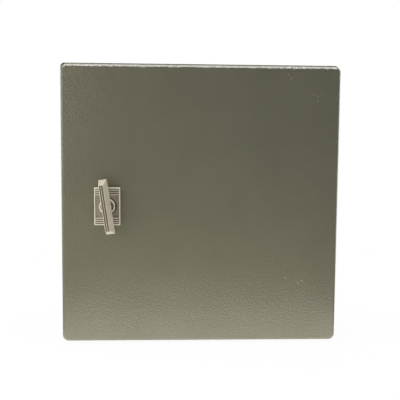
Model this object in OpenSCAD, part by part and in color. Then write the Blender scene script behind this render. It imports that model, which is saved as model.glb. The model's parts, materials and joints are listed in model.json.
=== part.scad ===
// Small wall-mounted switchboard cabinet of folded sheet steel: one hinged door, a T-handle lock,
// a mounting plate inside and a gland plate in the floor.
// Sizes are millimetres. Every piece is drawn as seen from the front: x to the right, y up and z from
// the wall out to the door. stand_up() turns that drawing, so that +Z is up and +Y points to the wall.

/* [Cabinet] */
// Width of the body
cabinet_w = 300; // [240:5:400]
// Height of the body
cabinet_h = 300; // [240:5:400]
// Depth from the wall to the face of the door
cabinet_d = 150; // [120:5:260]

/* [Sheet metal] */
// Thickness of the body's sheet
body_sheet = 1.2; // [1:0.1:2]
// Thickness of the door's sheet
door_sheet = 1.5; // [1:0.1:1.8]
// Outer radius of every fold
fold_r = 3; // [2.4:0.1:3.5]
// Corner radius of the body, seen from the front
body_corner_r = 4; // [3.8:0.1:8]

/* [Door] */
// How far the body stands out past the door on every side
door_margin = 3; // [2:0.5:5]
// Depth of the door's folded edge
door_depth = 20; // [18:1:26]
// Corner radius of the door
door_corner_r = 6.5; // [5:0.5:10]
// Gap between the door's folded edge and the rim behind it
door_gap = 2.5; // [2:0.5:5]

/* [Rim and seal] */
// Corner radius of the sealing lip
lip_corner_r = 6; // [4:0.5:12]
// Width of the foam seal
seal_w = 12; // [8:1:13]
// Thickness of the foam seal
seal_t = 5; // [4:0.5:6]
// Inner corner radius of the foam seal
seal_inner_r = 2; // [1:0.5:4]
// Gap between the seal and the lip that bears on it
seal_clearance = 0.3; // [0.2:0.1:0.6]

/* [Hinges] */
// Diameter of the hinge pins
pin_d = 4; // [3:0.5:4.5]
// From the door's outer edge in to the pin
pin_inset = 5; // [4.6:0.1:6]
// From the pin back to the end of the door's folded edge
pin_to_edge = 7.5; // [6.5:0.5:9]
// From the door's top or bottom edge to the middle of a hinge
hinge_inset = 52; // [40:1:80]
// Height of the body's leaf at the pin
hinge_boss_h = 14; // [10:1:24]
// Height of each ear of the door's leaf
hinge_ear_h = 4; // [3:0.5:6]
// Thickness of the leaves
hinge_leaf_t = 3.5; // [2.5:0.5:5]
// Radial clearance of the pin in the body's leaf
pin_clearance = 0.05; // [0.02:0.01:0.1]
// Height clearance between the two leaves
hinge_play = 0.4; // [0.2:0.1:1]
// Room round the door's swinging edge
swing_clearance = 1; // [0.6:0.1:2]
// How far the door opens, in degrees
door_opening = 120; // [90:5:120]

/* [Lock] */
// From the door's free edge to the axis of the lock
lock_inset = 48.6; // [42:0.2:70]
// How far the lock sits below the middle of the door
lock_drop = 1; // [0:0.5:60]
// Width of the lock plate
lock_plate_w = 27; // [26:0.5:36]
// Height of the lock plate
lock_plate_h = 39.5; // [36:0.5:60]
// Thickness of the lock plate
lock_plate_t = 4.5; // [3.5:0.5:8]
// Width of the plate's raised border
lock_border = 1.1; // [0.8:0.1:2]
// Ribs at each end of the plate
lock_ribs = 3; // [1:1:4]
// Distance from rib to rib
lock_rib_pitch = 2.25; // [1.6:0.05:3]
// Depth of the grooves between the ribs
lock_groove_depth = 0.9; // [0.4:0.1:1.5]
// Depth of the plain panel between the ribs
lock_panel_depth = 1.5; // [0.8:0.1:2.2]
// Outer diameter of the collar round the spindle
collar_d = 16.6; // [14:0.2:19]
// Wall of the collar
collar_wall = 1.4; // [1:0.1:1.6]
// How far the collar stands out of the plate's panel
collar_h = 2.2; // [1:0.1:4]
// Thickness of the gasket behind the lock plate
lock_gasket_t = 1; // [0.5:0.5:2]
// Diameter of the threaded barrel
barrel_d = 22; // [20:0.5:24]
// Width across the barrel's two flats
barrel_flats = 20; // [18:0.5:20]
// Clearance of the barrel in the door
barrel_clearance = 0.25; // [0.1:0.05:0.5]
// Width across the flats of the lock nut
lock_nut_af = 27; // [26:1:32]
// Thickness of the lock nut
lock_nut_t = 5; // [4:0.5:8]
// Diameter of the spindle
spindle_d = 11; // [9:0.5:12]
// Radial clearance of the spindle in the barrel
spindle_clearance = 0.06; // [0.03:0.01:0.1]
// Square of the spindle that drives the cam
cam_square = 7; // [5:0.5:7.5]
// Thickness of the O-ring
o_ring_t = 1.6; // [1:0.1:2]
// Reach of the cam from the axis of the lock
cam_reach = 43; // [41:0.5:46]
// Width of the cam
cam_w = 16; // [14:1:20]
// Thickness of the cam
cam_t = 3; // [2:0.5:4]
// Gap between the cam and the rim that it closes behind
cam_gap = 1.5; // [1.2:0.1:2.5]

/* [T-handle] */
// Length of the grip where it meets the neck
grip_l = 58; // [45:1:80]
// Width of the grip where it meets the neck
grip_w = 9; // [8:0.5:14]
// Length of the grip's front face
grip_front_l = 47; // [36:1:60]
// Width of the grip's front face
grip_front_w = 5; // [4:0.2:8]
// Sideways shift of the front face towards the door's free edge
grip_shift = 1.3; // [0:0.1:2]
// Depth of the grip, front to back
grip_t = 17; // [10:0.5:24]
// From the door's face to the grip's front face
handle_reach = 27; // [24:0.5:40]
// Chamfer of the grip's edges
grip_chamfer = 0.5; // [0.2:0.1:0.6]
// Radius of the grip's corners, seen from the front
grip_corner_r = 1.6; // [0.6:0.1:3]
// Width of the two grooves along the grip's front
grip_groove_w = 1.3; // [0.8:0.1:1.5]
// Depth of those grooves
grip_groove_depth = 1; // [0.3:0.1:1.5]
// Rib left between those grooves
grip_rib_w = 0.8; // [0.4:0.1:1]
// Diameter of the neck between the grip and the collar
neck_d = 8.5; // [6:0.5:10]
// Lean of the handle at rest
handle_tilt = 8.5; // [0:0.5:15]

/* [Wall fixing] */
// Diameter of the wall-fixing holes
wall_hole_d = 8.5; // [6:0.5:11]
// From the body's outside to a wall-fixing hole
wall_hole_inset = 25; // [20:1:32]

/* [Mounting plate] */
// From the body's outside to the plate's edge
plate_margin = 25; // [23:1:40]
// Thickness of the plate
plate_t = 2; // [1.5:0.5:3]
// Height of the spacers behind the plate
plate_standoff = 20; // [12:1:40]
// Square notch at each corner, which leaves the wall fixings free
plate_notch = 22; // [18:1:30]
// From the plate's side edges to its fixings
plate_fix_side = 15; // [10:1:20]
// From the plate's top and bottom edges to its fixings
plate_fix_end = 36; // [34:1:50]
// Diameter of the plate's studs
plate_stud_d = 8; // [6:1:8]

/* [Gland plate] */
// From the side walls to the cut-out in the floor
cutout_side = 60; // [50:1:80]
// From the back panel and the rim to the cut-out in the floor
cutout_edge = 27; // [24:1:34]
// Corner radius of the cut-out
cutout_r = 6; // [3:1:12]
// How far the gland plate laps over the cut-out
gland_lap = 15; // [13:1:18]
// Thickness of the gland plate
gland_t = 2; // [1.5:0.5:3]
// Thickness of the gasket under it
gland_gasket_t = 2; // [1:0.5:4]
// Diameter of the gland plate's studs
gland_stud_d = 5; // [4:1:6]

/* [Earthing] */
// Diameter of the earth studs
earth_stud_d = 6; // [5:1:8]
// Length of the earth studs
earth_stud_l = 17; // [14:1:24]
// From the body's bottom to the earth studs
earth_height = 45; // [40:1:80]
// From the wall to the body's earth stud
earth_body_z = 60; // [45:1:80]
// From the door's hinged edge to its earth stud
earth_door_inset = 46; // [40:1:70]

/* [Fasteners] */
// Clearance round a thread
thread_clearance = 0.05; // [0:0.01:0.1]
// Clearance of a stud in a plain hole
stud_clearance = 0.4; // [0.2:0.1:0.8]

/* [Hidden] */
$fn = 64;
PAINT = "#77745f";
ZINC = "#b9bcc0";
BEIGE = "#a89f8b";
FOAM = "#3a3a3a";

// How far a cut runs past the face it opens, and a piece into the one it grows from
overrun = 1;

// Door, as depths from the wall
door_w = cabinet_w - 2 * door_margin;
door_h = cabinet_h - 2 * door_margin;
door_back = cabinet_d - door_depth;
door_inside = cabinet_d - door_sheet;
pin_x = door_w / 2 - pin_inset;
pin_z = door_back + pin_to_edge;

// Rim, behind the door's folded edge and clear of it when the door is fully open
opening_clearance = 0.3;
fold_x = door_margin + pin_inset - fold_r;
fold_reach = pin_inset + opening_clearance + fold_r - fold_x * cos(door_opening);
fold_back = fold_reach / sin(door_opening) - fold_r;
rim_z = pin_z - max(pin_to_edge + door_gap, fold_back);
rim_inside = rim_z - body_sheet;
fold_inner = fold_r - body_sheet;

// Hinges, and the lip that their leaves are welded to, clear of the swinging edge
boss_clearance = 0.3;
boss_r = pin_inset - door_sheet - boss_clearance;
swing_r = norm([pin_inset, pin_to_edge]);
lip_offset = swing_r + swing_clearance + hinge_leaf_t;
rim_w = door_margin + pin_inset + lip_offset;
lip_w = cabinet_w - 2 * rim_w;
lip_h = cabinet_h - 2 * rim_w;
lip_front = door_inside - seal_t - seal_clearance;
hinge_y = door_h / 2 - hinge_inset;
hinge_stack = hinge_boss_h + 2 * (hinge_play + hinge_ear_h);
hinge_foot_t = 2;
hinge_foot_reach = 4;
pin_head_t = 1.5;
pin_head_chamfer = 0.5;
clip_t = 0.8;
clip_groove = 0.5;
pin_tip = 1.2;

// Inner corner of the door's folded edge when the door is fully open, seen from the pin
open_edge_x = (pin_inset - door_sheet) * cos(door_opening) - pin_to_edge * sin(door_opening);
open_edge_z = (door_sheet - pin_inset) * sin(door_opening) - pin_to_edge * cos(door_opening);

// Lock, as depths from the wall
lock_x = lock_inset - door_w / 2;
lock_y = -lock_drop;
plate_back = cabinet_d + lock_gasket_t;
plate_front = plate_back + lock_plate_t;
panel_front = plate_front - lock_panel_depth;
collar_front = panel_front + collar_h;
well_d = collar_d - 2 * collar_wall;
well_floor = plate_back;
flange_t = 1.6;
flange_clearance = 0.15;
lock_gasket_inset = 0.5;
cam_front = rim_inside - cam_gap;
cam_back = cam_front - cam_t;
cam_play = 0.3;
barrel_back = cam_front + cam_play;
square_end_gap = 0.2;
square_back = cam_back + square_end_gap;
cam_washer_t = 1.6;
cam_washer_inset = 1;
cam_screw_d = 5;
cam_screw_head = 4;
cam_screw_depth = 9;
cam_screw_end_gap = 1;
o_ring_inset = 4;
o_ring_z = well_floor - o_ring_inset;
grip_front = cabinet_d + handle_reach;
grip_back = grip_front - grip_t;

// Mounting plate
plate_w = cabinet_w - 2 * plate_margin;
plate_h = cabinet_h - 2 * plate_margin;
plate_back_z = body_sheet + plate_standoff;
plate_front_z = plate_back_z + plate_t;
plate_stud_spare = 3;
plate_stud_x = plate_w / 2 - plate_fix_side;
plate_stud_y = plate_h / 2 - plate_fix_end;
wall_hole_x = cabinet_w / 2 - wall_hole_inset;
wall_hole_y = cabinet_h / 2 - wall_hole_inset;

// Gland plate, lying on the floor of the body
floor_y = body_sheet - cabinet_h / 2;
cutout_l = cabinet_w - 2 * cutout_side;
cutout_w = rim_inside - body_sheet - 2 * cutout_edge;
cutout_z = (rim_inside + body_sheet) / 2;
gland_l = cutout_l + 2 * gland_lap;
gland_w = cutout_w + 2 * gland_lap;
gland_hole_x = cutout_l / 2 + gland_lap / 2;
gland_hole_z = cutout_w / 2 + gland_lap / 2;
gland_gasket_inset = 3;
gland_stud_spare = 2.5;

// Earth studs
earth_y = earth_height - cabinet_h / 2;
earth_door_x = door_w / 2 - earth_door_inset;
body_wall_x = cabinet_w / 2 - body_sheet;

// Shared shapes

module stand_up() {
  rotate([90, 0, 0]) children();
}

// A flat outline with round corners
module rounded_rect(w, h, r) {
  square([w - 2 * r, h], center = true);
  square([w, h - 2 * r], center = true);
  for (x = [-1, 1], y = [-1, 1])
    translate([x * (w / 2 - r), y * (h / 2 - r)]) circle(r);
}

// A quarter of the section of a fold, in the quadrant of +x and +y
module fold_section(outer_r, inner_r) {
  intersection() {
    difference() {
      circle(outer_r);
      circle(inner_r);
    }
    square(outer_r);
  }
}

// A section run round a rectangle with round corners. The section's x counts outwards from the
// rectangle's edge, and its y is the depth from the wall.
module run_round(w, h, r) {
  for (turn = [0:3]) {
    along = turn % 2 == 0 ? h : w;
    across = turn % 2 == 0 ? w : h;
    rotate(90 * turn) {
      translate([across / 2, 0, 0])
        rotate([90, 0, 0]) linear_extrude(along - 2 * r, center = true) children();
      translate([across / 2 - r, along / 2 - r, 0])
        rotate_extrude(angle = 90) translate([r, 0]) children();
    }
  }
}

// A section drawn in x and z, given height along y
module upright(height) {
  rotate([90, 0, 0]) linear_extrude(height, center = true) children();
}

module four_corners(x, y) {
  for (i = [-1, 1], j = [-1, 1])
    translate([i * x, j * y, 0]) children();
}

// Turns a piece's z into the floor's upward direction, at the gland plate's middle
module on_floor(height) {
  translate([0, floor_y + height, cutout_z]) rotate([-90, 0, 0]) children();
}

module ring(outer_d, inner_d, thickness) {
  difference() {
    cylinder(d = outer_d, h = thickness);
    translate([0, 0, -overrun]) cylinder(d = inner_d, h = thickness + 2 * overrun);
  }
}

// Common proportions of hexagon nuts and plain washers for a thread of diameter d
function nut_af(d) = 1.625 * d;
function nut_t(d) = 0.8 * d;
function washer_d(d) = 2 * d;
function washer_t(d) = 0.2 * d;

module hex_nut(d, af, thickness) {
  difference() {
    cylinder(d = af / cos(30), h = thickness, $fn = 6);
    translate([0, 0, -overrun])
      cylinder(d = d + 2 * thread_clearance, h = thickness + 2 * overrun);
  }
}

module nut_for(d) {
  hex_nut(d, nut_af(d), nut_t(d));
}

module washer_for(d) {
  ring(washer_d(d), d + 2 * stud_clearance, washer_t(d));
}

// Body

module body_wrap() {
  color(PAINT) stand_up() difference() {
    union() {
      run_round(cabinet_w, cabinet_h, body_corner_r) wall_section();
      translate([0, 0, rim_inside]) linear_extrude(body_sheet) difference() {
        rounded_rect(cabinet_w - 2 * fold_r, cabinet_h - 2 * fold_r, body_corner_r - fold_r);
        rounded_rect(lip_w + 2 * fold_inner, lip_h + 2 * fold_inner, lip_corner_r + fold_inner);
      }
      run_round(lip_w, lip_h, lip_corner_r) lip_section();
    }
    on_floor(-body_sheet - overrun)
      linear_extrude(body_sheet + 2 * overrun) rounded_rect(cutout_l, cutout_w, cutout_r);
  }
}

// The wall with the folds at the back and at the rim
module wall_section() {
  translate([-fold_r, fold_r]) rotate(-90) fold_section(fold_r, fold_inner);
  translate([-body_sheet, fold_r]) square([body_sheet, rim_z - 2 * fold_r]);
  translate([-fold_r, rim_z - fold_r]) fold_section(fold_r, fold_inner);
}

// The sealing lip that stands up from the rim
module lip_section() {
  translate([fold_inner, rim_z + fold_inner]) rotate(180) fold_section(fold_r, fold_inner);
  translate([-body_sheet, rim_z + fold_inner])
    square([body_sheet, lip_front - rim_z - fold_inner]);
}

module back_panel() {
  color(PAINT) stand_up() linear_extrude(body_sheet) difference() {
    rounded_rect(cabinet_w - 2 * fold_r, cabinet_h - 2 * fold_r, body_corner_r - fold_r);
    four_corners(wall_hole_x, wall_hole_y) circle(d = wall_hole_d);
  }
}

// Mounting plate and what holds it

module mounting_plate() {
  color(ZINC) stand_up() translate([0, 0, plate_back_z]) linear_extrude(plate_t) difference() {
    square([plate_w, plate_h], center = true);
    four_corners(plate_w / 2, plate_h / 2) square(2 * plate_notch, center = true);
    four_corners(plate_stud_x, plate_stud_y) circle(d = plate_stud_d + 2 * stud_clearance);
  }
}

module mounting_plate_studs() {
  above_plate = washer_t(plate_stud_d) + nut_t(plate_stud_d) + plate_stud_spare;
  color(ZINC) stand_up() four_corners(plate_stud_x, plate_stud_y)
    translate([0, 0, body_sheet])
      cylinder(d = plate_stud_d, h = plate_standoff + plate_t + above_plate);
}

module mounting_plate_spacers() {
  color(ZINC) stand_up() four_corners(plate_stud_x, plate_stud_y)
    translate([0, 0, body_sheet])
      ring(washer_d(plate_stud_d), plate_stud_d + 2 * stud_clearance, plate_standoff);
}

module mounting_plate_washers() {
  color(ZINC) stand_up() four_corners(plate_stud_x, plate_stud_y)
    translate([0, 0, plate_front_z]) washer_for(plate_stud_d);
}

module mounting_plate_nuts() {
  color(ZINC) stand_up() four_corners(plate_stud_x, plate_stud_y)
    translate([0, 0, plate_front_z + washer_t(plate_stud_d)]) nut_for(plate_stud_d);
}

// Gland plate in the floor

module gland_holes() {
  four_corners(gland_hole_x, gland_hole_z) circle(d = gland_stud_d + 2 * stud_clearance);
}

module gland_plate() {
  color(ZINC) stand_up() on_floor(gland_gasket_t) linear_extrude(gland_t) difference() {
    rounded_rect(gland_l, gland_w, cutout_r);
    gland_holes();
  }
}

module gland_plate_gasket() {
  color(FOAM) stand_up() on_floor(0) linear_extrude(gland_gasket_t) difference() {
    rounded_rect(gland_l, gland_w, cutout_r);
    rounded_rect(cutout_l + 2 * gland_gasket_inset, cutout_w + 2 * gland_gasket_inset, cutout_r);
    gland_holes();
  }
}

module gland_plate_studs() {
  above_plate = washer_t(gland_stud_d) + nut_t(gland_stud_d) + gland_stud_spare;
  color(ZINC) stand_up() on_floor(0) four_corners(gland_hole_x, gland_hole_z)
    cylinder(d = gland_stud_d, h = gland_gasket_t + gland_t + above_plate);
}

module gland_plate_washers() {
  color(ZINC) stand_up() on_floor(gland_gasket_t + gland_t)
    four_corners(gland_hole_x, gland_hole_z) washer_for(gland_stud_d);
}

module gland_plate_nuts() {
  color(ZINC) stand_up() on_floor(gland_gasket_t + gland_t + washer_t(gland_stud_d))
    four_corners(gland_hole_x, gland_hole_z) nut_for(gland_stud_d);
}

// Earth studs on the body's hinge-side wall and on the door

module on_hinge_wall() {
  translate([body_wall_x, earth_y, earth_body_z]) rotate([0, -90, 0]) children();
}

module on_door_inside() {
  translate([earth_door_x, earth_y, door_inside]) rotate([180, 0, 0]) children();
}

module earth_stud() {
  cylinder(d = earth_stud_d, h = earth_stud_l);
}

module earth_washer() {
  washer_for(earth_stud_d);
}

module earth_nut() {
  translate([0, 0, washer_t(earth_stud_d)]) nut_for(earth_stud_d);
}

module body_earth_stud() {
  color(ZINC) stand_up() on_hinge_wall() earth_stud();
}

module body_earth_washer() {
  color(ZINC) stand_up() on_hinge_wall() earth_washer();
}

module body_earth_nut() {
  color(ZINC) stand_up() on_hinge_wall() earth_nut();
}

module door_earth_stud() {
  color(ZINC) stand_up() on_door_inside() earth_stud();
}

module door_earth_washer() {
  color(ZINC) stand_up() on_door_inside() earth_washer();
}

module door_earth_nut() {
  color(ZINC) stand_up() on_door_inside() earth_nut();
}

// Hinges, drawn round the pin. side is 1 for the upper hinge and -1 for the lower one

module at_hinge(side) {
  translate([pin_x, side * hinge_y, pin_z]) children();
}

// Gooseneck from the lip, round the door's swinging edge, to the pin. Its arm is as thick as the leaf,
// or thinner where the door's edge needs the room
module body_leaf_section() {
  neck_back = rim_z + fold_r - pin_z;
  neck_front = lip_front - seal_clearance - pin_z;
  neck_near = hinge_leaf_t - lip_offset;
  arm_slope = (neck_near + boss_r) / (open_edge_x + boss_r);
  arm_back = max(neck_front - hinge_leaf_t, (open_edge_z + opening_clearance) * arm_slope);
  difference() {
    union() {
      circle(boss_r);
      polygon([
        [-lip_offset, neck_back], [neck_near, neck_back], [neck_near, arm_back], [-boss_r, 0],
        [0, 0], [0, boss_r], [-boss_r, neck_front], [-lip_offset, neck_front]
      ]);
    }
    circle(d = pin_d + 2 * pin_clearance);
  }
}

module hinge_body_leaf(side) {
  color(ZINC) stand_up() at_hinge(side) upright(hinge_boss_h) body_leaf_section();
}

// One ear of the door's leaf, with its foot on the door's inner face
module door_ear_section() {
  difference() {
    union() {
      circle(boss_r);
      translate([-boss_r, 0]) square([2 * boss_r, door_inside - fold_inner - pin_z]);
      door_foot_section();
    }
    circle(d = pin_d);
  }
}

// The foot, with its corner cut off to clear the fold of the door
module door_foot_section() {
  foot_l = boss_r + hinge_foot_reach;
  face = door_inside - pin_z;
  fold_start = pin_inset - fold_r;
  polygon([
    [-foot_l, face], [-foot_l, face - hinge_foot_t], [boss_r, face - hinge_foot_t],
    [boss_r, cabinet_d - fold_r - pin_z], [fold_start, face]
  ]);
}

module hinge_door_leaf(side) {
  ear_y = (hinge_stack - hinge_ear_h) / 2;
  color(ZINC) stand_up() at_hinge(side) {
    for (end = [-1, 1])
      translate([0, end * ear_y, 0]) upright(hinge_ear_h) door_ear_section();
    upright(hinge_stack) door_foot_section();
  }
}

// Turned pin with a head on top and a groove for the clip at the lower end
module hinge_pin(side) {
  r = pin_d / 2;
  top = hinge_stack / 2;
  head_top = top + pin_head_t;
  groove_end = -top - clip_t;
  color(ZINC) stand_up() at_hinge(side) rotate([-90, 0, 0]) rotate_extrude() polygon([
    [0, head_top], [boss_r - pin_head_chamfer, head_top], [boss_r, head_top - pin_head_chamfer],
    [boss_r, top], [r, top], [r, -top], [r - clip_groove, -top], [r - clip_groove, groove_end],
    [r, groove_end], [r, groove_end - pin_tip], [0, groove_end - pin_tip]
  ]);
}

module hinge_pin_clips() {
  color(ZINC) stand_up() for (side = [-1, 1])
    at_hinge(side) translate([0, -hinge_stack / 2, 0]) rotate([90, 0, 0])
      ring(2 * boss_r, pin_d - 2 * clip_groove, clip_t);
}

// Door

module door_panel() {
  color(PAINT) stand_up() difference() {
    union() {
      run_round(door_w, door_h, door_corner_r) door_edge_section();
      translate([0, 0, door_inside]) linear_extrude(door_sheet)
        rounded_rect(door_w - 2 * fold_r, door_h - 2 * fold_r, door_corner_r - fold_r);
    }
    at_lock(door_inside - overrun)
      linear_extrude(door_sheet + 2 * overrun) barrel_outline(barrel_clearance);
  }
}

module door_edge_section() {
  translate([-door_sheet, door_back]) square([door_sheet, door_depth - fold_r]);
  translate([-fold_r, cabinet_d - fold_r]) fold_section(fold_r, fold_r - door_sheet);
}

module door_seal() {
  middle_w = lip_w - body_sheet;
  middle_h = lip_h - body_sheet;
  color(FOAM) stand_up() translate([0, 0, door_inside - seal_t]) linear_extrude(seal_t) difference() {
    rounded_rect(middle_w + seal_w, middle_h + seal_w, lip_corner_r + seal_w / 2);
    rounded_rect(middle_w - seal_w, middle_h - seal_w, seal_inner_r);
  }
}

// Lock in the door

module at_lock(z) {
  translate([lock_x, lock_y, z]) children();
}

// Round barrel with two flats, which stop it turning in the door
module barrel_outline(clearance) {
  intersection() {
    circle(d = barrel_d + 2 * clearance);
    square([barrel_d + 2 * clearance, barrel_flats + 2 * clearance], center = true);
  }
}

module lock_gasket() {
  color(FOAM) stand_up() at_lock(cabinet_d) linear_extrude(lock_gasket_t) difference() {
    square([lock_plate_w - 2 * lock_gasket_inset, lock_plate_h - 2 * lock_gasket_inset], center = true);
    barrel_outline(barrel_clearance);
  }
}

// Ribbed plate with a collar, and the barrel that passes through the door
module lock_housing() {
  bore_d = spindle_d + 2 * spindle_clearance;
  color(BEIGE) stand_up() at_lock(0) difference() {
    union() {
      difference() {
        translate([0, 0, plate_back]) linear_extrude(lock_plate_t)
          rounded_rect(lock_plate_w, lock_plate_h, lock_border);
        lock_plate_cuts();
      }
      translate([0, 0, plate_back]) cylinder(d = collar_d, h = collar_front - plate_back);
      translate([0, 0, barrel_back])
        linear_extrude(plate_back + overrun - barrel_back) barrel_outline(0);
    }
    translate([0, 0, barrel_back - overrun])
      cylinder(d = bore_d, h = collar_front - barrel_back + 2 * overrun);
    translate([0, 0, well_floor]) cylinder(d = well_d, h = collar_front - well_floor + overrun);
  }
}

// Grooves that leave the ribs standing at each end, and the plain panel between them
module lock_plate_cuts() {
  inner_w = lock_plate_w - 2 * lock_border;
  groove_w = lock_rib_pitch / 2;
  end_y = lock_plate_h / 2 - lock_border;
  panel_h = 2 * (end_y - lock_ribs * lock_rib_pitch);
  for (end = [-1, 1], i = [0:lock_ribs - 1])
    translate([0, end * (end_y - i * lock_rib_pitch - groove_w / 2), plate_front])
      cube([inner_w, groove_w, 2 * lock_groove_depth], center = true);
  translate([0, 0, plate_front]) cube([inner_w, panel_h, 2 * lock_panel_depth], center = true);
}

module lock_nut() {
  color(ZINC) stand_up() at_lock(door_inside - lock_nut_t) hex_nut(barrel_d, lock_nut_af, lock_nut_t);
}

// Pieces that turn with the handle. At rest the grip leans and the cam hangs in line with it

module at_spindle(z) {
  at_lock(z) rotate(handle_tilt) children();
}

module t_handle() {
  color(BEIGE) stand_up() at_spindle(0) difference() {
    union() {
      grip();
      rotate_extrude() spindle_section();
      translate([0, 0, (square_back + barrel_back) / 2])
        cube([cam_square, cam_square, barrel_back - square_back], center = true);
    }
    translate([0, 0, square_back - overrun])
      cylinder(d = cam_screw_d, h = cam_screw_depth + overrun);
  }
}

// Neck, flange that fills the collar's well, and spindle with the O-ring's groove
module spindle_section() {
  r = spindle_d / 2;
  groove = r - o_ring_t / 2;
  flange_r = well_d / 2 - flange_clearance;
  flange_front = well_floor + flange_t;
  neck_front = grip_back + overrun;
  polygon([
    [0, neck_front], [neck_d / 2, neck_front], [neck_d / 2, flange_front],
    [flange_r, flange_front], [flange_r, well_floor], [r, well_floor],
    [r, o_ring_z + o_ring_t], [groove, o_ring_z + o_ring_t], [groove, o_ring_z], [r, o_ring_z],
    [r, cam_front], [0, cam_front]
  ]);
}

// Tapered bar with hipped ends: its section run along y, cut to its outlines seen from the side and
// from the front
module grip() {
  groove_x = (grip_rib_w + grip_groove_w) / 2;
  difference() {
    intersection() {
      upright(grip_l) grip_outline(grip_w, grip_front_w, -grip_shift);
      rotate([0, 0, 90]) upright(grip_w) grip_outline(grip_l, grip_front_l, 0);
      translate([0, 0, grip_back]) linear_extrude(grip_t) rounded_rect(grip_w, grip_l, grip_corner_r);
    }
    for (side = [-1, 1])
      translate([side * groove_x - grip_shift, 0, grip_front])
        cube([grip_groove_w, grip_l, 2 * grip_groove_depth], center = true);
  }
}

module grip_outline(back_w, front_w, shift) {
  c = grip_chamfer;
  polygon([
    [-back_w / 2 + c, grip_back], [back_w / 2 - c, grip_back], [back_w / 2, grip_back + c],
    [front_w / 2 + shift, grip_front - c], [front_w / 2 + shift - c, grip_front],
    [-front_w / 2 + shift + c, grip_front], [-front_w / 2 + shift, grip_front - c],
    [-back_w / 2, grip_back + c]
  ]);
}

module spindle_o_ring() {
  color(FOAM) stand_up() at_spindle(o_ring_z)
    ring(spindle_d, spindle_d - o_ring_t, o_ring_t);
}

module lock_cam() {
  tip = cam_reach - cam_w / 2;
  color(ZINC) stand_up() at_spindle(cam_back) linear_extrude(cam_t) difference() {
    union() {
      circle(d = cam_w);
      translate([-cam_w / 2, -tip]) square([cam_w, tip]);
      translate([0, -tip]) circle(d = cam_w);
    }
    square(cam_square, center = true);
  }
}

module cam_washer() {
  color(ZINC) stand_up() at_spindle(cam_back - cam_washer_t)
    ring(cam_w - 2 * cam_washer_inset, cam_screw_d + 2 * stud_clearance, cam_washer_t);
}

module cam_screw() {
  head_front = cam_back - cam_washer_t;
  shank_front = square_back + cam_screw_depth - cam_screw_end_gap;
  color(ZINC) stand_up() at_spindle(0) {
    translate([0, 0, head_front - cam_screw_head])
      cylinder(d = nut_af(cam_screw_d) / cos(30), h = cam_screw_head, $fn = 6);
    translate([0, 0, head_front])
      cylinder(d = cam_screw_d, h = shank_front - head_front);
  }
}

body_wrap();
back_panel();
mounting_plate();
mounting_plate_studs();
mounting_plate_spacers();
mounting_plate_washers();
mounting_plate_nuts();
gland_plate();
gland_plate_gasket();
gland_plate_studs();
gland_plate_washers();
gland_plate_nuts();
body_earth_stud();
body_earth_washer();
body_earth_nut();
hinge_body_leaf(1);  // upper_hinge_body_leaf
hinge_body_leaf(-1);  // lower_hinge_body_leaf
door_panel();
door_seal();
hinge_door_leaf(1);  // upper_hinge_door_leaf
hinge_door_leaf(-1);  // lower_hinge_door_leaf
hinge_pin(1);  // upper_hinge_pin
hinge_pin(-1);  // lower_hinge_pin
hinge_pin_clips();
door_earth_stud();
door_earth_washer();
door_earth_nut();
lock_gasket();
lock_housing();
lock_nut();
t_handle();
spindle_o_ring();
lock_cam();
cam_washer();
cam_screw();
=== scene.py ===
import json
import math
from collections import namedtuple

import bmesh
import bpy
from mathutils import Euler, Matrix, Vector, noise


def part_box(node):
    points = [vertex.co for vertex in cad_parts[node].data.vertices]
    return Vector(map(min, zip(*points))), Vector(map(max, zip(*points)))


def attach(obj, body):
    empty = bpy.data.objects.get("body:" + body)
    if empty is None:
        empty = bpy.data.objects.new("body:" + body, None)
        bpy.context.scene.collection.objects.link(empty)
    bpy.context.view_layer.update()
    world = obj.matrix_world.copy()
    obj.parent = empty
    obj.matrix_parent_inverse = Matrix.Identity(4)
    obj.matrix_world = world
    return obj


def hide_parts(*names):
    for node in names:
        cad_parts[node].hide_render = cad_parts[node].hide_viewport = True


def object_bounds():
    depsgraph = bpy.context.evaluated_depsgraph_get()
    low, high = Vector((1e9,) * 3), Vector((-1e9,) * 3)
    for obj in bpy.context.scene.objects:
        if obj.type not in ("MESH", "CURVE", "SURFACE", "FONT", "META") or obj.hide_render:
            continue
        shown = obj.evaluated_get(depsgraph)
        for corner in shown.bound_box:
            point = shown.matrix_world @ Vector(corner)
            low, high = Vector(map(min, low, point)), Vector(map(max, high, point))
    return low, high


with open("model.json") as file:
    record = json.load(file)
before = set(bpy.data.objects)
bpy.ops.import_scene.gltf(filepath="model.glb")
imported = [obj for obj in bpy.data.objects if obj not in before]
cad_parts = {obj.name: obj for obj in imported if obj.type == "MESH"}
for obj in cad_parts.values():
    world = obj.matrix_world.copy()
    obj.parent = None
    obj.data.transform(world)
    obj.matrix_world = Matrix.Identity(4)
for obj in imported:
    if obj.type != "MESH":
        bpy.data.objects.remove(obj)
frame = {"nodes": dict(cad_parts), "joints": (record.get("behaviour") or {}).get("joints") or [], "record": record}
CAD_LOW, CAD_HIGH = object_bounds()

MM = 0.001
NODES = frame["nodes"]
BODY_OF = {node: body for body, nodes in frame["record"]["behaviour"]["bodies"].items() for node in nodes}
SLOT_OF = {part["node"]: part["material_slot"] for part in frame["record"]["subparts"]}
AXIS = {joint["name"]: Vector(joint["pos_m"]) / MM for joint in frame["joints"]}
LOCK_X = AXIS["handle_turn"].x
LOCK_Y = AXIS["handle_turn"].z

# Pieces are drawn as seen from the front, like the CAD: x right, y up, z out of the wall, in millimetres.
FRONT_VIEW = Matrix.Rotation(math.radians(90), 4, "X") @ Matrix.Scale(MM, 4)


def front_box(node):
    """Lowest and highest corner of a CAD node in the front view, in millimetres."""
    low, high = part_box(node)
    return Vector((low.x, low.z, -high.y)) / MM, Vector((high.x, high.z, -low.y)) / MM


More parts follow.
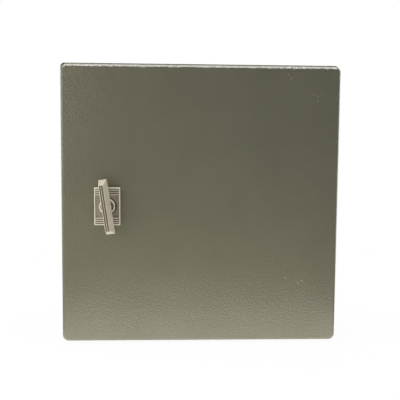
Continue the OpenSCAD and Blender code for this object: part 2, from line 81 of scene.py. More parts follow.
def at(x=0.0, y=0.0, z=0.0, turn=0.0, about="Z"):
    """A place in the front view, turned about an axis."""
    return Matrix.Translation((x, y, z)) @ Matrix.Rotation(math.radians(turn), 4, about)


# Camera, at the photograph's angle

CAMERA_PLACE = (-0.0370, -0.8924, 0.0761)
CAMERA_TURN = (84.578, -0.445, -2.746)
CAMERA_LENS = 63.35
CAMERA_SENSOR = 36.0


def make_camera():
    data = bpy.data.cameras.new("camera")
    data.lens = CAMERA_LENS
    data.sensor_width = CAMERA_SENSOR
    camera = bpy.data.objects.new("camera", data)
    camera.location = CAMERA_PLACE
    camera.rotation_euler = Euler([math.radians(angle) for angle in CAMERA_TURN], "XYZ")
    bpy.context.scene.collection.objects.link(camera)
    bpy.context.scene.camera = camera


# Materials

# How far a worn spot reaches in front of the door's face and behind it, in metres
MARK_DEPTH = 0.002


class Shader:
    """One material's nodes. add() makes a node and returns it; a value that is a socket is linked."""

    def __init__(self, name):
        self.material = bpy.data.materials.new(name)
        self.material.use_nodes = True
        self.tree = self.material.node_tree
        self.tree.nodes.clear()
        self.place = self.add("TexCoord").outputs["Object"]

    def add(self, kind, settings=None, **inputs):
        made = self.tree.nodes.new("ShaderNode" + kind)
        for name, value in (settings or {}).items():
            setattr(made, name, value)
        for name, value in inputs.items():
            self.feed(made.inputs[name.replace("_", " ")], value)
        return made

    def feed(self, socket, value):
        if isinstance(value, bpy.types.NodeSocket):
            self.tree.links.new(value, socket)
        else:
            socket.default_value = value

    def math(self, operation, *values):
        made = self.add("Math", {"operation": operation})
        for socket, value in zip(made.inputs, values):
            self.feed(socket, value)
        return made.outputs[0]

    def noise(self, size, detail):
        """Noise with features of about this size in metres."""
        return self.add("TexNoise", Vector=self.place, Scale=1 / size, Detail=detail).outputs[0]

    def cells(self, size):
        """Cells of about this size in metres."""
        return self.add("TexVoronoi", Vector=self.place, Scale=1 / size).outputs

    def ramp(self, value, low, high, to_low=0.0, to_high=1.0):
        """Maps low..high to to_low..to_high, and holds the ends."""
        made = self.add("MapRange", Value=value, From_Min=low, From_Max=high, To_Min=to_low, To_Max=to_high)
        return made.outputs[0]

    def mix(self, amount, first, second):
        """A colour between two others."""
        made = self.add("Mix", {"data_type": "RGBA"})
        self.feed(made.inputs[0], amount)
        self.feed(made.inputs[6], first)
        self.feed(made.inputs[7], second)
        return made.outputs[2]

    def bump(self, height, distance, strength=1.0):
        return self.add("Bump", Height=height, Distance=distance, Strength=strength).outputs[0]

    def mark(self, place, reach, turn=0.0):
        """1 in the middle of an oval spot on the door's face, 0 outside it. reach is half its size."""
        shift = self.add("VectorMath", {"operation": "SUBTRACT"})
        self.feed(shift.inputs[0], self.place)
        self.feed(shift.inputs[1], place)
        spin = self.add("VectorRotate", {"rotation_type": "Y_AXIS"}, Angle=math.radians(turn))
        self.feed(spin.inputs["Vector"], shift.outputs[0])
        scale = self.add("VectorMath", {"operation": "DIVIDE"})
        self.feed(scale.inputs[0], spin.outputs[0])
        self.feed(scale.inputs[1], (reach[0], MARK_DEPTH, reach[1]))
        length = self.add("VectorMath", {"operation": "LENGTH"})
        self.feed(length.inputs[0], scale.outputs[0])
        return self.ramp(length.outputs["Value"], 0.4, 1.0, 1.0, 0.0)

    def finish(self, **inputs):
        surface = self.add("BsdfPrincipled", **inputs)
        output = self.add("OutputMaterial")
        self.tree.links.new(surface.outputs[0], output.inputs["Surface"])
        return self.material


def srgb(red, green, blue):
    """An 8-bit screen colour as the linear colour that renders as it."""
    parts = [value / 255 for value in (red, green, blue)]
    return (*[p / 12.92 if p <= 0.04045 else ((p + 0.055) / 1.055) ** 2.4 for p in parts], 1.0)


# Worn spots on the door's face: place across and up, half length and width, turn, light or dark
WEAR = [
    (94.5, 134.0, 2.2, 0.7, 70, True),
    (91.4, 137.9, 2.4, 0.6, 45, True),
    (122.4, 115.8, 1.3, 0.8, 60, True),
    (123.1, 111.0, 1.5, 0.6, 60, True),
    (118.3, 116.9, 1.8, 0.5, 55, True),
    (91.6, -78.6, 2.6, 0.6, -55, True),
    (105.4, -84.1, 1.3, 0.9, -40, True),
    (109.6, -81.9, 4.0, 0.5, -33, True),
    (143.5, 68.3, 1.0, 1.2, 0, True),
    (9.0, 43.5, 2.0, 0.8, 90, False),
    (37.7, -11.4, 1.4, 1.0, 0, False),
    (123.9, -58.8, 1.0, 0.9, 0, False),
]


# Where shade is painted on the body's front fold, and where the door's top fold starts, in the front view
SEAM_SHADE_BACK = (123.5, 125.5)
SEAM_SHADE_FRONT = (128.5, 129.0)
SEAM_SHADE_EDGE = (145.5, 147.5)
DOOR_BACK = 129.0
FOLD_START = 141.5
FOLD_END = 147.0
FOLD_DROP = 1.8


def front_place(s):
    """Across, up and forward in the front view, in millimetres."""
    x, y, z = s.add("SeparateXYZ", Vector=s.place).outputs
    return s.math("DIVIDE", x, MM), s.math("DIVIDE", z, MM), s.math("DIVIDE", y, -MM)


def painted_seam_shade(s):
    """1 on the fold round the body's front edge beside the door, where shade is painted and the paint is made
    matt, 0 elsewhere.
    """
    across, up, forward = front_place(s)
    outward = s.math("MAXIMUM", s.math("ABSOLUTE", across), s.math("ABSOLUTE", up))
    near_door = s.math("MULTIPLY", s.ramp(forward, *SEAM_SHADE_BACK), s.ramp(forward, *SEAM_SHADE_FRONT, 1.0, 0.0))
    return s.math("MULTIPLY", near_door, s.ramp(outward, *SEAM_SHADE_EDGE))


def fold_drop(s):
    """Height in metres that the door's face loses towards its top edge, so that the fold shades softly."""
    across, up, forward = front_place(s)
    soft = {"interpolation_type": "SMOOTHSTEP"}
    fall = s.add("MapRange", soft, Value=up, From_Min=FOLD_START, From_Max=FOLD_END).outputs[0]
    on_door = s.math("GREATER_THAN", forward, DOOR_BACK)
    return s.math("MULTIPLY", s.math("MULTIPLY", fall, on_door), -FOLD_DROP * MM)


def paint_material():
    """Grey-olive powder coat with the pebbled skin that it cures to."""
    s = Shader("paint")
    face = front_box("door_panel")[1].z
    blotch = s.ramp(s.noise(0.05, 3.0), 0.3, 0.7)
    colour = s.mix(blotch, srgb(94, 91, 72), srgb(98, 95, 76))
    grain = s.ramp(s.noise(0.0012, 1.0), 0.3, 0.7)
    colour = s.mix(s.math("MULTIPLY", grain, 0.12), colour, srgb(112, 108, 88))
    seam_shade = painted_seam_shade(s)
    # Painted shade: the body's front fold beside the door is darkened towards dark olive; the same band is made
    # matt and less shiny below
    colour = s.mix(s.math("MULTIPLY", seam_shade, 0.8), colour, srgb(46, 44, 34))
    ragged = s.ramp(s.noise(0.0014, 2.0), 0.35, 0.6, 0.2, 0.55)
    for across, up, half_length, half_width, turn, light in WEAR:
        spot = s.mark((across * MM, -face * MM, up * MM), (half_length * MM, half_width * MM), turn)
        worn = srgb(160, 157, 140) if light else srgb(66, 63, 49)
        colour = s.mix(s.math("MULTIPLY", spot, ragged), colour, worn)
    pebbles = s.math("MULTIPLY", s.noise(0.0017, 1.0), 0.00044)
    normal = s.bump(s.math("ADD", pebbles, fold_drop(s)), 1.0)
    clean_rough = s.ramp(s.noise(0.004, 2.0), 0.3, 0.7, 0.13, 0.18)
    rough = s.math("MAXIMUM", clean_rough, s.math("MULTIPLY", seam_shade, 0.8))
    shine = s.ramp(seam_shade, 0.0, 0.5, 0.4, 0.0)
    return s.finish(Base_Color=colour, Roughness=rough, Normal=normal, Specular_IOR_Level=shine)


def zinc_material(name, base, rough_low, rough_high):
    """Bright zinc plating, a little cloudy."""
    s = Shader(name)
    cloud = s.ramp(s.noise(0.004, 3.0), 0.3, 0.7)
    colour = s.mix(cloud, base, srgb(206, 208, 210))
    rough = s.ramp(s.noise(0.0015, 2.0), 0.3, 0.7, rough_low, rough_high)
    normal = s.bump(s.noise(0.0004, 2.0), 0.00005, 0.3)
    return s.finish(Base_Color=colour, Roughness=rough, Normal=normal, Metallic=1.0)


def galvanised_material():
    """Hot-dip galvanised sheet with its spangle of crystals."""
    s = Shader("galvanised")
    cell = s.cells(0.006)
    shade = s.add("SeparateColor", Color=cell["Color"]).outputs[0]
    colour = s.mix(shade, srgb(144, 149, 154), srgb(192, 195, 199))
    rough = s.ramp(shade, 0.0, 1.0, 0.32, 0.5)
    normal = s.bump(s.noise(0.0008, 2.0), 0.00005, 0.25)
    return s.finish(Base_Color=colour, Roughness=rough, Normal=normal, Metallic=1.0)


def plastic_material(name, first, second, speck, gloss=0.5):
    """Moulded plastic, faintly mottled and pitted."""
    s = Shader(name)
    blotch = s.ramp(s.noise(0.012, 3.0), 0.3, 0.7)
    colour = s.mix(blotch, first, second)
    grain = s.ramp(s.noise(0.0005, 1.0), 0.3, 0.7)
    colour = s.mix(s.math("MULTIPLY", grain, 0.2), colour, speck)
    rough = s.ramp(s.noise(0.002, 2.0), 0.3, 0.7, 0.38, 0.5)
    normal = s.bump(s.noise(0.0006, 2.0), 0.0001, 0.25)
    return s.finish(Base_Color=colour, Roughness=rough, Normal=normal, Specular_IOR_Level=gloss)


def foam_material():
    """Poured closed-cell foam: dark grey, with a fine open pore here and there."""
    s = Shader("seal_foam")
    cell = s.cells(0.0009)
    pore = s.ramp(cell["Distance"], 0.05, 0.3)
    colour = s.mix(pore, srgb(30, 30, 31), srgb(62, 62, 63))
    cloud = s.ramp(s.noise(0.01, 2.0), 0.3, 0.7)
    colour = s.mix(s.math("MULTIPLY", cloud, 0.4), colour, srgb(74, 74, 74))
    normal = s.bump(cell["Distance"], 0.0004, 0.5)
    return s.finish(Base_Color=colour, Roughness=s.ramp(pore, 0.0, 1.0, 0.9, 0.7), Normal=normal)


def rubber_material():
    """Matt black gasket rubber with a dusty bloom."""
    s = Shader("gasket_rubber")
    bloom = s.ramp(s.noise(0.006, 4.0), 0.4, 0.75)
    colour = s.mix(bloom, srgb(24, 24, 25), srgb(52, 52, 52))
    normal = s.bump(s.noise(0.0005, 2.0), 0.0001, 0.3)
    return s.finish(Base_Color=colour, Roughness=s.ramp(bloom, 0.0, 1.0, 0.6, 0.85), Normal=normal)


MATERIALS = {
    "paint": paint_material(),
    "galvanised_sheet": galvanised_material(),
    "zinc_plated_steel": zinc_material("zinc", srgb(176, 180, 186), 0.24, 0.38),
    "hinge_steel": zinc_material("hinge_zinc", srgb(160, 164, 168), 0.34, 0.48),
    "lock_plastic": plastic_material(
        "lock_plastic", srgb(180, 172, 154), srgb(188, 180, 162), srgb(158, 150, 132)
    ),
    "seal_foam": foam_material(),
    "gasket_rubber": rubber_material(),
}

# The lock's plain panel; its grooves and the gap beside the collar, painted dark brown as shade; and its border
# and collar, painted lighter as a highlight
PANEL = plastic_material("lock_panel", srgb(146, 139, 120), srgb(153, 146, 127), srgb(130, 122, 105), 0.15)
GROOVE_SHADE = plastic_material("lock_groove_shade", srgb(104, 94, 78), srgb(114, 104, 87), srgb(86, 77, 63), 0.2)
RIM_HIGHLIGHT = plastic_material("lock_rim_highlight", srgb(214, 207, 189), srgb(222, 215, 197), srgb(196, 188, 170))


def dress_cad_nodes():
    for name, node in NODES.items():
        node.data.materials.clear()
        node.data.materials.append(MATERIALS[SLOT_OF[name]])


# Drawing helpers. A ring is a closed row of points; rings are joined one after the other.

EDGE_STEPS = 4


def polar(radius, height, count=48):
    """A ring round the z axis. radius and height are numbers or functions of the angle."""
    ring = []
    for i in range(count):
        angle = 2 * math.pi * i / count
        r = radius(angle) if callable(radius) else radius
        z = height(angle) if callable(height) else height
        ring.append((r * math.cos(angle), r * math.sin(angle), z))
    return ring


def lathe(profile, count=48):
    return [polar(radius, height, count) for radius, height in profile]


def soften(corners, radius):
    """A closed outline with each corner rounded by up to this radius."""
    out = []
    points = [Vector(corner) for corner in corners]
    for before, point, after in zip(points[-1:] + points[:-1], points, points[1:] + points[:1]):
        cut = min(radius, (before - point).length * 0.48, (after - point).length * 0.48)
        start = point + (before - point).normalized() * cut
        end = point + (after - point).normalized() * cut
        for step in range(EDGE_STEPS + 1):
            t = step / EDGE_STEPS
            out.append(start.lerp(point, t).lerp(point.lerp(end, t), t))
    return out


def rounded_rect(width, height, radius, z, middle=(0.0, 0.0), steps=6):
    """A ring round a rectangle with round corners."""
    ring = []
    for quarter in range(4):
        for step in range(steps + 1):
            angle = math.pi / 2 * (quarter + step / steps)
            side_x = 1 if quarter in (0, 3) else -1
            side_y = 1 if quarter in (0, 1) else -1
            x = middle[0] + side_x * (width / 2 - radius) + radius * math.cos(angle)
            y = middle[1] + side_y * (height / 2 - radius) + radius * math.sin(angle)
            ring.append((x, y, z))
    return ring


def edge_steps(low, high, radius):
    """Heights and insets of a slab whose two edges are rounded."""
    turns = [math.pi / 2 * i / EDGE_STEPS for i in range(EDGE_STEPS + 1)]
    bottom = [(low + radius * (1 - math.sin(t)), radius * (1 - math.cos(t))) for t in reversed(turns)]
    top = [(high - radius * (1 - math.sin(t)), radius * (1 - math.cos(t))) for t in turns]
    return bottom + top


def frame_path(half_w, half_h, radius_at, along, corner):
    """Stations round a rectangle: each is a function from the offset outwards to the point's x and y."""
    def station(quarter, step):
        side_x = 1 if quarter in (0, 3) else -1
        side_y = 1 if quarter in (0, 1) else -1
        next_x = 1 if (quarter + 1) % 4 in (0, 3) else -1
        next_y = 1 if (quarter + 1) % 4 in (0, 1) else -1

        def point(offset):
            r = radius_at(offset)
            in_x, in_y = half_w + offset - r, half_h + offset - r
            if step <= corner:
                angle = math.pi / 2 * (quarter + step / corner)
                return Vector((side_x * in_x + r * math.cos(angle), side_y * in_y + r * math.sin(angle)))
            angle = math.pi / 2 * (quarter + 1)
            out = Vector((r * math.cos(angle), r * math.sin(angle)))
            start = Vector((side_x * in_x, side_y * in_y)) + out
            end = Vector((next_x * in_x, next_y * in_y)) + out
            return start.lerp(end, (step - corner) / along)

        return point

    return [station(quarter, step) for quarter in range(4) for step in range(corner + along)]


def frame_rings(path, section):
    """A closed section, of offset and height, at each station of the path."""
    return [[(*point(offset), height) for offset, height in section] for point in path]


# Metric fasteners: radius and pitch of the thread, nut across its flats, outer and inner radius of the washer
Thread = namedtuple("Thread", "radius pitch nut washer hole")
M5 = Thread(2.5, 0.8, 8.125, 5.0, 2.9)
M6 = Thread(3.0, 1.0, 9.75, 6.0, 3.4)
M8 = Thread(4.0, 1.25, 13.0, 8.0, 4.4)

THREAD_STEPS = 8
THREAD_DEPTH = 0.3
STUD_SIDES = 32
STUD_CORE = 0.94
STUD_CHAMFER = 0.7
NUT_FACE = 0.96
NUT_SINK = 0.08
NUT_SLOPE = math.tan(math.radians(30))


def thread_radius(radius, pitch, z):
    """Radius of a thread at a height, as a function of the angle."""
    depth = THREAD_DEPTH * pitch
    return lambda angle: radius - depth + depth * math.cos(2 * math.pi * z / pitch - angle)


def stud_rings(thread, low, start, high):
    """A stud that is plain up to start and threaded from there to its chamfered end."""
    core = thread.radius * STUD_CORE
    rings = [polar(core, low, STUD_SIDES), polar(core, start, STUD_SIDES)]
    steps = math.ceil((high - start) / thread.pitch * THREAD_STEPS)
    for i in range(steps + 1):
        z = start + (high - start) * i / steps
        most = thread.radius - max(0.0, z - high + thread.pitch * STUD_CHAMFER)
        turn = thread_radius(thread.radius, thread.pitch, z)
        rings.append(polar(lambda angle: min(turn(angle), most), z, STUD_SIDES))
    return rings


def hexagon(across):
    """Radius of a hexagon as a function of the angle."""
    return lambda angle: across / 2 / math.cos((angle + math.pi / 6) % (math.pi / 3) - math.pi / 6)


def nut_rings(across, bore, low, high, count=72):
    """A hexagon nut with both faces chamfered round and the bore countersunk."""
    flat = hexagon(across)
    face = across / 2 * NUT_FACE
    sink = NUT_SINK * bore
    return [
        polar(bore, low + sink, count),
        polar(bore + sink, low, count),
        polar(face, low, count),
        polar(flat, lambda angle: low + (flat(angle) - face) * NUT_SLOPE, count),
        polar(flat, lambda angle: high - (flat(angle) - face) * NUT_SLOPE, count),
        polar(face, high, count),
        polar(bore + sink, high, count),
        polar(bore, high - sink, count),
    ]


def washer_rings(outer, inner, low, high):
    return lathe(soften([(inner, low), (outer, low), (outer, high), (inner, high)], (high - low) * 0.25))


SMOOTH_ANGLE = math.radians(34)


class Drawing:
    """Points and faces of one piece in the front view, in millimetres."""

    def __init__(self):
        self.points = []
        self.faces = []

    def loft(self, rings, place=Matrix.Identity(4), loop=False):
        """Joins the rings, with a lid on each end, or from the last ring back to the first."""
        first = len(self.points)
        count = len(rings[0])
        for ring in rings:
            self.points.extend(place @ Vector(point) for point in ring)
        for i in range(len(rings) if loop else len(rings) - 1):
            a = first + i * count
            b = first + (i + 1) % len(rings) * count
            for j in range(count):
                k = (j + 1) % count
                self.faces.append((a + j, a + k, b + k, b + j))
        if not loop:
            last = first + (len(rings) - 1) * count
            self.faces.append(tuple(range(first, first + count)))
            self.faces.append(tuple(range(last, last + count)))
        return self

    def mesh(self, name):
        made = bmesh.new()
        points = [made.verts.new(FRONT_VIEW @ point) for point in self.points]
        for face in self.faces:
            made.faces.new([points[i] for i in face])
        bmesh.ops.recalc_face_normals(made, faces=made.faces)
        mesh = bpy.data.meshes.new(name)
        made.to_mesh(mesh)
        made.free()
        return mesh

    def piece(self, name, node):
        return show(self.mesh(name), name, node)


def show(mesh, name, node):
    """Makes the piece that stands for a CAD node, on its body and in its finish."""
    slot = SLOT_OF[node]
    mesh.shade_smooth()
    mesh.set_sharp_from_angle(angle=SMOOTH_ANGLE)
    mesh.materials.append(MATERIALS[slot])
    made = bpy.data.objects.new(name, mesh)
    bpy.context.scene.collection.objects.link(made)
    made.modifiers.new("even_shading", "WEIGHTED_NORMAL").keep_sharp = True
    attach(made, BODY_OF[node])
    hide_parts(node)
    return made


def joined(name, *meshes):
    whole = bmesh.new()
    for mesh in meshes:
        whole.from_mesh(mesh)
    made = bpy.data.meshes.new(name)
    whole.to_mesh(made)
    whole.free()
    return made


def cut_away(mesh, cutter):
    """The mesh with the cutter's shape taken out of it."""
    keep = bpy.data.objects.new("keep", mesh)
    tool = bpy.data.objects.new("tool", cutter)
    for made in (keep, tool):
        bpy.context.scene.collection.objects.link(made)
    cut = keep.modifiers.new("cut", "BOOLEAN")
    cut.object = tool
    cut.operation = "DIFFERENCE"
    cut.solver = "EXACT"
    shaped = keep.evaluated_get(bpy.context.evaluated_depsgraph_get())
    result = bpy.data.meshes.new_from_object(shaped)
    bpy.data.objects.remove(keep)
    bpy.data.objects.remove(tool)
    return result


def repaint(piece, material, chosen):
    """Gives another material to the faces whose middle and normal, in the front view, are chosen."""
    piece.data.materials.append(material)
    index = len(piece.data.materials) - 1
    back = FRONT_VIEW.inverted()
    turn = back.to_3x3()
    for face in piece.data.polygons:
        if chosen(back @ face.center, (turn @ face.normal).normalized()):
            face.material_index = index


# Door seal

SEAL_HALF = [
    (0.0, 4.55), (0.9, 4.75), (1.7, 4.9), (2.8, 4.85), (3.9, 4.5),
    (4.9, 3.7), (5.6, 2.6), (5.95, 1.2), (5.9, 0.0),
]
SEAL_SECTION = [(-across, up) for across, up in reversed(SEAL_HALF[1:])] + SEAL_HALF
SEAL_W = 12.0
SEAL_OUTER_R = 12.0
SEAL_INNER_R = 2.0
SEAL_WAVE = 0.03


def make_door_seal():
    """Foam poured round the door: a crowned bead, a little uneven, with the dent the lip leaves in it."""
    high = front_box("door_seal")[1]
    half_w, half_h = high.x - SEAL_W / 2, high.y - SEAL_W / 2
    middle_r = (SEAL_OUTER_R + SEAL_INNER_R) / 2
    slope = (SEAL_OUTER_R - SEAL_INNER_R) / SEAL_W
    path = frame_path(half_w, half_h, lambda offset: middle_r + offset * slope, along=60, corner=12)
    rings = []
    for point in path:
        spot = point(0.0)
        swell = 1 - SEAL_WAVE * (1 + noise.noise(Vector((spot.x * 0.06, spot.y * 0.06, 3.7))))
        width = 1 - SEAL_WAVE * 0.6 * (1 + noise.noise(Vector((spot.x * 0.05, spot.y * 0.05, 9.1))))
        ring = [(*point(offset * width), high.z - height * swell) for offset, height in SEAL_SECTION]
        rings.append(ring)
    seal = Drawing().loft(rings, loop=True).piece("foam_door_seal", "door_seal")


# Gaskets

GLAND_GASKET_BAND = 12.0
GLAND_GASKET_R = 6.0
LOCK_GASKET_BAND = 1.75
LOCK_GASKET_R = 2.0
O_RING_R = 5.1
O_RING_HALF = (0.4, 0.8)


def make_gaskets():
    low, high = front_box("gland_plate_gasket")
    middle = at(0, low.y, (low.z + high.z) / 2, -90, "X")
    thick = high.y - low.y
    band = [(0, 0), (0, thick), (-GLAND_GASKET_BAND, thick), (-GLAND_GASKET_BAND, 0)]
    path = frame_path(high.x, (high.z - low.z) / 2, lambda offset: GLAND_GASKET_R, along=16, corner=8)
    gasket = Drawing().loft(frame_rings(path, soften(band, 0.5)), middle, loop=True)
    gasket.piece("rubber_gland_gasket", "gland_plate_gasket")

    low, high = front_box("lock_gasket")
    wide, tall = high.x - low.x, high.y - low.y
    place = at(LOCK_X, LOCK_Y)
    band = [(0, low.z), (0, high.z), (-LOCK_GASKET_BAND, high.z), (-LOCK_GASKET_BAND, low.z)]
    path = frame_path(wide / 2, tall / 2, lambda offset: LOCK_GASKET_R, along=10, corner=8)
    gasket = Drawing().loft(frame_rings(path, soften(band, 0.3)), place, loop=True)
    gasket.piece("rubber_lock_gasket", "lock_gasket")

    low, high = front_box("spindle_o_ring")
    half_w, half_h = O_RING_HALF
    turns = [2 * math.pi * i / 16 for i in range(16)]
    section = [(O_RING_R + half_w * math.cos(t), (low.z + high.z) / 2 + half_h * math.sin(t)) for t in turns]
    Drawing().loft(lathe(section), place, loop=True).piece("o_ring", "spindle_o_ring")


# Studs, nuts, washers and spacers. The turns, in degrees, are how each stud and nut happens to stand.

MOUNTING_TURNS = (11, 37, -16, 4)
GLAND_TURNS = (8, 41, -13, 22)
BODY_EARTH_TURN = 17
DOOR_EARTH_TURN = -9


def make_mounting_fasteners():
    low, high = front_box("mounting_plate_studs")
    reach_x, reach_y = high.x - M8.radius, high.y - M8.radius
    places = [at(i * reach_x, j * reach_y) for i in (-1, 1) for j in (-1, 1)]
    nut_low, nut_high = front_box("mounting_plate_nuts")
    washer_low, washer_high = front_box("mounting_plate_washers")
    spacer_low, spacer_high = front_box("mounting_plate_spacers")
    bottom, top = spacer_low.z, spacer_high.z
    tube = [(M8.hole, bottom), (M8.washer, bottom), (M8.washer, top), (M8.hole, top)]
    studs, nuts, washers, spacers = Drawing(), Drawing(), Drawing(), Drawing()
    for turn, place in zip(MOUNTING_TURNS, places):
        spun = place @ at(turn=turn)
        studs.loft(stud_rings(M8, low.z, washer_low.z, high.z), spun)
        nuts.loft(nut_rings(M8.nut, M8.radius, nut_low.z, nut_high.z), spun, loop=True)
        washers.loft(washer_rings(M8.washer, M8.hole, washer_low.z, washer_high.z), place, loop=True)
        spacers.loft(lathe(soften(tube, 0.5)), place, loop=True)
    studs.piece("mounting_studs", "mounting_plate_studs")
    nuts.piece("mounting_nuts", "mounting_plate_nuts")
    washers.piece("mounting_washers", "mounting_plate_washers")
    spacers.piece("mounting_spacers", "mounting_plate_spacers")


def make_gland_fasteners():
    low, high = front_box("gland_plate_studs")
    nut_low, nut_high = front_box("gland_plate_nuts")
    washer_low, washer_high = front_box("gland_plate_washers")
    studs, nuts, washers = Drawing(), Drawing(), Drawing()
    turns = iter(GLAND_TURNS)
    for x in (low.x + M5.radius, high.x - M5.radius):
        for z in (low.z + M5.radius, high.z - M5.radius):
            place = at(x, 0, z, -90, "X")
            spun = place @ at(turn=next(turns))
            studs.loft(stud_rings(M5, low.y, washer_low.y, high.y), spun)
            nuts.loft(nut_rings(M5.nut, M5.radius, nut_low.y, nut_high.y), spun, loop=True)
            washers.loft(washer_rings(M5.washer, M5.hole, washer_low.y, washer_high.y), place, loop=True)
    studs.piece("gland_studs", "gland_plate_studs")
    nuts.piece("gland_nuts", "gland_plate_nuts")
    washers.piece("gland_washers", "gland_plate_washers")


EARTH_LENGTH = 17.0
EARTH_WASHER_T = 1.2
EARTH_NUT_TOP = 6.0


def make_earth_stud(side, place, turn):
    """Stud, washer and nut, drawn from the sheet outwards."""
    spun = place @ at(turn=turn)
    stud = Drawing().loft(stud_rings(M6, 0, EARTH_WASHER_T, EARTH_LENGTH), spun)
    stud.piece(side + "_earth_thread", side + "_earth_stud")
    nut = Drawing().loft(nut_rings(M6.nut, M6.radius, EARTH_WASHER_T, EARTH_NUT_TOP), spun, loop=True)
    nut.piece(side + "_earth_hexagon", side + "_earth_nut")
    washer = Drawing().loft(washer_rings(M6.washer, M6.hole, 0, EARTH_WASHER_T), place, loop=True)
    washer.piece(side + "_earth_disc", side + "_earth_washer")


def make_earth_studs():
    low, high = front_box("body_earth_stud")
    place = at(high.x, (low.y + high.y) / 2, (low.z + high.z) / 2, -90, "Y")
    make_earth_stud("body", place, BODY_EARTH_TURN)
    low, high = front_box("door_earth_stud")
    place = at((low.x + high.x) / 2, (low.y + high.y) / 2, high.z, 180, "X")
    make_earth_stud("door", place, DOOR_EARTH_TURN)


# Lock

LOCK_TILT = 8.5
PLATE_W = 27.0
PLATE_H = 39.5
PLATE_BACK = 151.0
PLATE_FRONT = 155.5
PLATE_CORNER_R = 0.6
PLATE_CORNER_SLOPE = 0.45
BORDER = 1.1
BORDER_EDGE = 0.5
RIBS = 3
RIB_PITCH = 2.25
RIB_EDGE = 0.2
INLAY_LAP = 0.3
GROOVE_DEPTH = 0.9
PANEL_DEPTH = 1.5
COLLAR_R = 8.3
WELL_R = 6.9
COLLAR_FRONT = 156.2
COLLAR_EDGE = 0.6
BARREL_R = 11.0
BARREL_FLAT = 10.0
BARREL_PITCH = 1.5
BARREL_LAP = 0.2
BARREL_CHAMFER = 0.8
BORE_R = 5.56
LOCK_NUT_ACROSS = 27.0
LOCK_NUT_TURN = 6
GAP_R = 9.0
GAP_SHIFT = (0.95, 0.2)
GAP_FLOOR = 151.4


def plate_corner(offset):
    """Corner radius of the plate's border, tighter on its inner side."""
    return PLATE_CORNER_R + offset * PLATE_CORNER_SLOPE


def make_lock_housing():
    lock = at(LOCK_X, LOCK_Y)
    housing = Drawing()

    # Raised border
    wall = [(0, PLATE_BACK), (0, PLATE_FRONT), (-BORDER, PLATE_FRONT), (-BORDER, PLATE_BACK)]
    path = frame_path(PLATE_W / 2, PLATE_H / 2, plate_corner, along=6, corner=8)
    housing.loft(frame_rings(path, soften(wall, BORDER_EDGE)), lock, loop=True)

    # Collar
    collar = [(WELL_R, PLATE_BACK), (COLLAR_R, PLATE_BACK), (COLLAR_R, COLLAR_FRONT), (WELL_R, COLLAR_FRONT)]
    housing.loft(lathe(soften(collar, COLLAR_EDGE), 72), lock, loop=True)

    # Threaded barrel with two flats
    back = front_box("lock_housing")[0].z
    front = PLATE_BACK + BARREL_LAP
    count = 96
    rings = [polar(BORE_R, front, count), polar(BORE_R, back, count)]
    steps = math.ceil((PLATE_BACK - back) / BARREL_PITCH * THREAD_STEPS)
    for i in range(steps + 1):
        z = back + (front - back) * i / steps
        most = BARREL_R - max(0.0, back + BARREL_CHAMFER - z)
        turn = thread_radius(BARREL_R, BARREL_PITCH, z)

        def outline(angle):
            return min(turn(angle), most, BARREL_FLAT / max(abs(math.sin(angle)), 0.01))

        rings.append(polar(outline, z, count))
    housing.loft(rings, lock, loop=True)

    # Ribs at both ends and the panel between them, one profile from top to bottom
    end = PLATE_H / 2 - BORDER
    groove = PLATE_FRONT - GROOVE_DEPTH
    panel = PLATE_FRONT - PANEL_DEPTH
    upper = [(end + INLAY_LAP, PLATE_BACK), (end + INLAY_LAP, groove)]
    for i in range(RIBS):
        top = end - i * RIB_PITCH
        foot = groove if i < RIBS - 1 else panel
        upper += [(top - RIB_PITCH / 2, groove), (top - RIB_PITCH / 2, PLATE_FRONT)]
        upper += [(top - RIB_PITCH, PLATE_FRONT), (top - RIB_PITCH, foot)]
    profile = soften(upper + [(-y, z) for y, z in reversed(upper)], RIB_EDGE)
    reach = PLATE_W / 2 - BORDER + INLAY_LAP
    inlay = Drawing().loft([[(x, y, z) for y, z in profile] for x in (-reach, reach)], lock)

    # The spindle's well, and the gap left on one side of the collar
    well = Drawing().loft(lathe([(WELL_R + 0.5, PLATE_BACK - 1), (WELL_R + 0.5, COLLAR_FRONT)], 72), lock)
    gap_place = lock @ at(*GAP_SHIFT)
    gap = Drawing().loft(lathe([(GAP_R, GAP_FLOOR), (GAP_R, COLLAR_FRONT)], 72), gap_place)
    inlay = cut_away(cut_away(inlay.mesh("inlay"), well.mesh("well")), gap.mesh("gap"))
    body = show(joined("lock_body", housing.mesh("border"), inlay), "lock_body", "lock_housing")

    def on_panel(middle, normal):
        return normal.z > 0.9 and panel - 0.1 < middle.z < panel + 0.1

    def groove_shade_faces(middle, normal):
        sunk = PLATE_BACK < middle.z < panel - 0.1 and (gap_place.inverted() @ middle).xy.length < GAP_R + 0.1
        return sunk or normal.z > 0.9 and groove - 0.1 < middle.z < groove + 0.1

    def highlight_faces(middle, normal):
        spot = lock.inverted() @ middle
        on_border = abs(spot.x) > PLATE_W / 2 - BORDER or abs(spot.y) > PLATE_H / 2 - BORDER
        return middle.z > panel + 0.2 and (on_border or spot.xy.length < COLLAR_R + 0.05)

    repaint(body, PANEL, on_panel)
    # Painted shade: the rib grooves and the gap beside the collar in dark brown
    repaint(body, GROOVE_SHADE, groove_shade_faces)
    # Painted highlight: the border and the collar in a lighter plastic
    repaint(body, RIM_HIGHLIGHT, highlight_faces)

    low, high = front_box("lock_nut")
    nut_place = lock @ at(turn=LOCK_NUT_TURN)
    nut = Drawing().loft(nut_rings(LOCK_NUT_ACROSS, BARREL_R, low.z, high.z, 96), nut_place, loop=True)
    nut.piece("lock_barrel_nut", "lock_nut")


